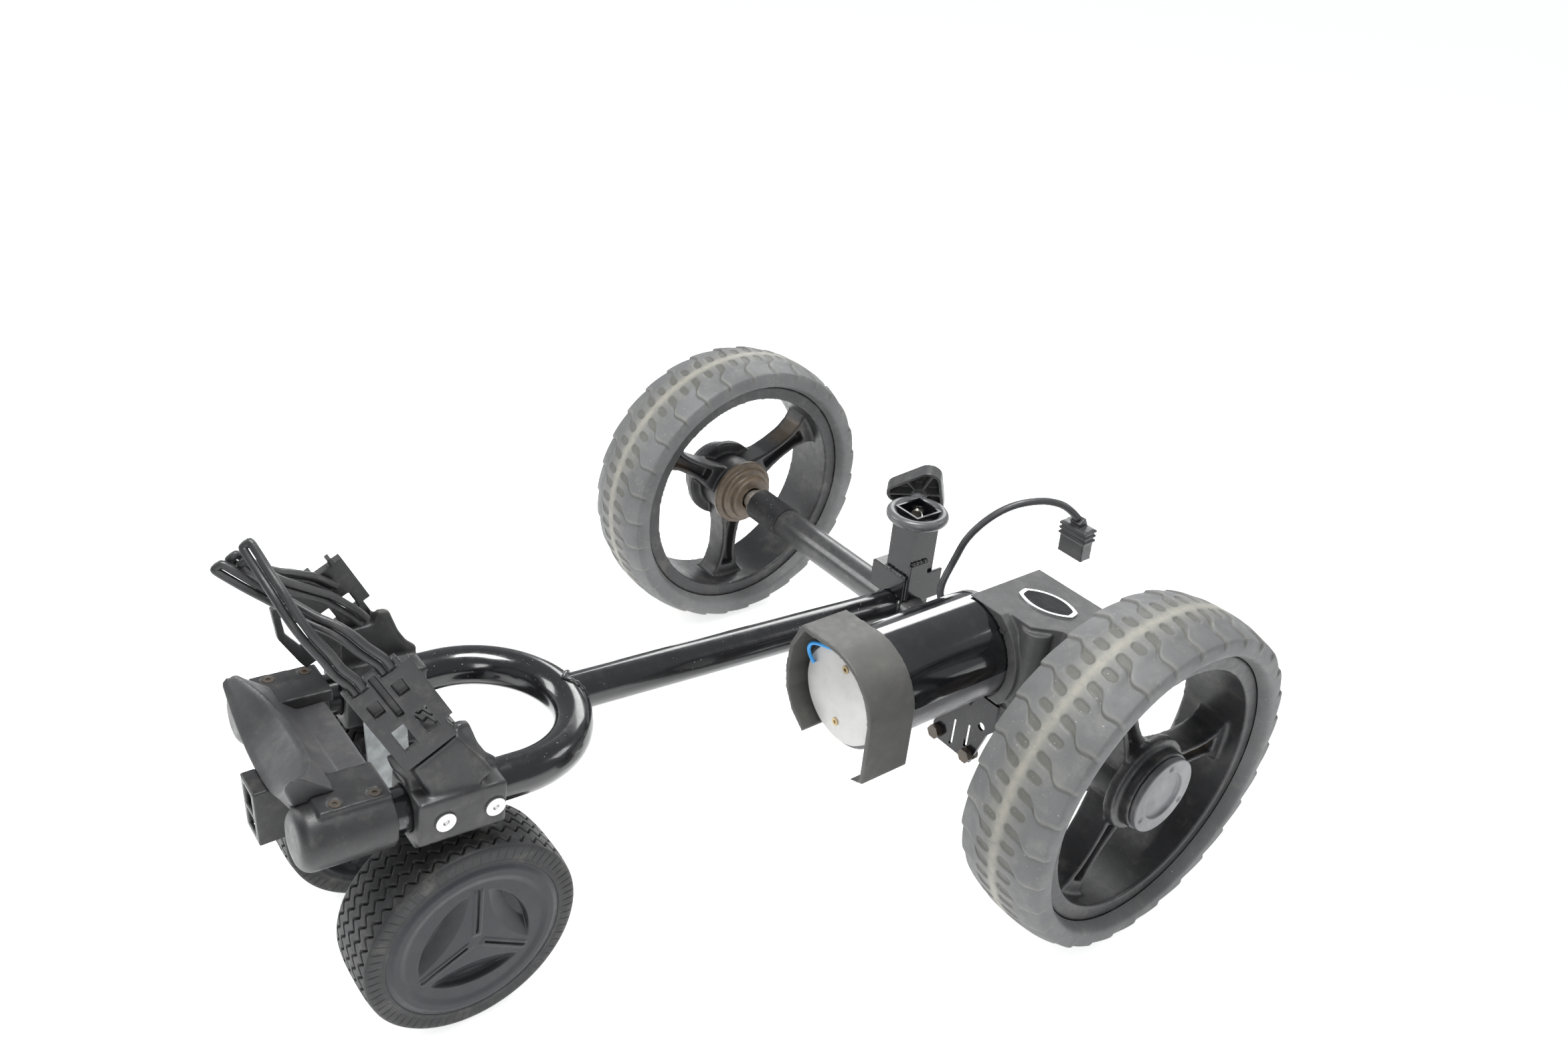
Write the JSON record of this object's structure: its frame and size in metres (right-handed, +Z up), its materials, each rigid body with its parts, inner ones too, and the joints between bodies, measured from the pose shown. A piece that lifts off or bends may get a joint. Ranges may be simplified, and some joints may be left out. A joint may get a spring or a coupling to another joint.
{
  "type": "motorised golf push cart chassis",
  "caption": "Motorised golf bag push cart base: tubular frame, large rear wheels, small front wheels, worm-drive motor, bag arms with elastic straps, mast socket.",
  "frame": {"origin": "on the floor, under the middle of the cart's length and width", "axes": "+Z up, +Y towards the rear wheels and the driver, +X towards the driven wheel"},
  "size_m": [0.64, 0.748, 0.3858],
  "materials": {
    "gloss_black_paint": "gloss",
    "socket_paint": "satin",
    "collar_paint": "satin",
    "matt_sleeve": "matt",
    "bright_steel": "brushed",
    "gearbox_black": "matt",
    "cover_plastic": "grained",
    "badge_metal": "polished rim, dark field",
    "screw_steel": "polished",
    "bearing_steel": "ground",
    "can_grey": "satin",
    "wrap_gloss": "gloss",
    "plate_aluminium": "fine turned",
    "brass_screws": "tarnished",
    "hood_rubber": "satin",
    "magnet_iron": "sintered",
    "brush_brown": "moulded",
    "lead_blue": "gloss",
    "rusty_bolts": "dull",
    "cable_black": "satin",
    "front_plastic": "satin",
    "saddle_rubber": "satin",
    "ladder_plastic": "satin",
    "galvanised": "galvanised",
    "strap_rubber": "satin",
    "rear_tyre_rubber": "dusty",
    "rim_plastic": "satin",
    "cap_plastic": "satin",
    "worm_wheel_bronze": "machined",
    "armature_copper": "laminated",
    "worm_steel": "ground",
    "front_tyre_rubber": "satin",
    "knob_plastic": "satin"
  },
  "bodies": {
    "chassis": {"spine_tube": "gloss_black_paint", "axle_tube": "gloss_black_paint", "fork_hoop": "gloss_black_paint", "mast_socket": "socket_paint", "socket_gussets": "socket_paint", "motor_bracket": "socket_paint", "socket_collar": "collar_paint", "axle_sleeve": "matt_sleeve", "left_stub_axle": "bright_steel", "wheel_release_clip": "bright_steel", "front_axle": "bright_steel", "gearbox_housing": "gearbox_black", "gearbox_cover": "cover_plastic", "cover_badge": "badge_metal", "cover_screws": "screw_steel", "clamp_screws": "screw_steel", "drive_bearings": "bearing_steel", "motor_bearings": "bearing_steel", "motor_can": "can_grey", "motor_wrap": "wrap_gloss", "motor_end_plate": "plate_aluminium", "motor_end_screws": "brass_screws", "motor_hood": "hood_rubber", "motor_magnets": "magnet_iron", "brush_holder": "brush_brown", "motor_lead": "lead_blue", "bracket_bolts": "rusty_bolts", "casing_screws": "rusty_bolts", "cable_gland": "cable_black", "motor_cable": "cable_black", "cable_plug": "cable_black", "front_casings": "front_plastic", "right_bag_arm": "front_plastic", "left_bag_arm": "front_plastic", "front_foot": "front_plastic", "bag_saddle": "saddle_rubber", "right_ladder": "ladder_plastic", "left_ladder": "ladder_plastic", "left_cleat": "ladder_plastic", "front_axle_bracket": "galvanised", "right_upper_strap": "strap_rubber", "right_lower_strap": "strap_rubber", "left_upper_strap": "strap_rubber", "left_lower_strap": "strap_rubber"},
    "left_wheel": {"left_tyre": "rear_tyre_rubber", "left_rim": "rim_plastic", "left_wheel_bearings": "bearing_steel", "left_hub_cap": "cap_plastic"},
    "right_wheel": {"right_tyre": "rear_tyre_rubber", "right_rim": "rim_plastic", "right_hub_cap": "cap_plastic", "drive_axle": "bright_steel", "worm_wheel": "worm_wheel_bronze"},
    "motor_rotor": {"motor_armature": "armature_copper", "worm_shaft": "worm_steel"},
    "front_right": {"front_right_wheel": "front_tyre_rubber"},
    "front_left": {"front_left_wheel": "front_tyre_rubber"},
    "screw_pad": {"pressure_pad": "bright_steel"},
    "knob": {"clamp_knob": "knob_plastic"}
  },
  "joints": [
    {"name": "left_wheel_spin", "type": "hinge", "parent": "chassis", "child": "left_wheel", "pos_m": [-0.2785, 0.224, 0.15], "axis": [1, 0, 0], "continuous": true},
    {"name": "right_wheel_spin", "type": "hinge", "parent": "chassis", "child": "right_wheel", "pos_m": [0.2785, 0.224, 0.15], "axis": [1, 0, 0], "continuous": true},
    {"name": "motor_spin", "type": "hinge", "parent": "chassis", "child": "motor_rotor", "pos_m": [0.12, 0.224, 0.187], "axis": [0, 1, 0], "continuous": true},
    {"name": "front_right_spin", "type": "hinge", "parent": "chassis", "child": "front_right", "pos_m": [0.0775, -0.26, 0.0815], "axis": [1, 0, 0], "continuous": true},
    {"name": "front_left_spin", "type": "hinge", "parent": "chassis", "child": "front_left", "pos_m": [-0.0775, -0.26, 0.0815], "axis": [1, 0, 0], "continuous": true},
    {"name": "screw_travel", "type": "slide", "parent": "chassis", "child": "screw_pad", "axis": [0.6384, -0.6814, -0.358], "range_m": [-0.00376, 0.00126]},
    {"name": "knob_turn", "type": "hinge", "parent": "screw_pad", "child": "knob", "pos_m": [-0.0317, 0.26365, 0.2479], "axis": [0.6384, -0.6814, -0.358], "range_deg": [-1080, 360]}
  ],
  "couplings": [
    {"joint": "motor_spin", "follows": "right_wheel_spin", "ratio": 24},
    {"joint": "screw_travel", "follows": "knob_turn", "m_per_rad": 0.00019894}
  ]
}
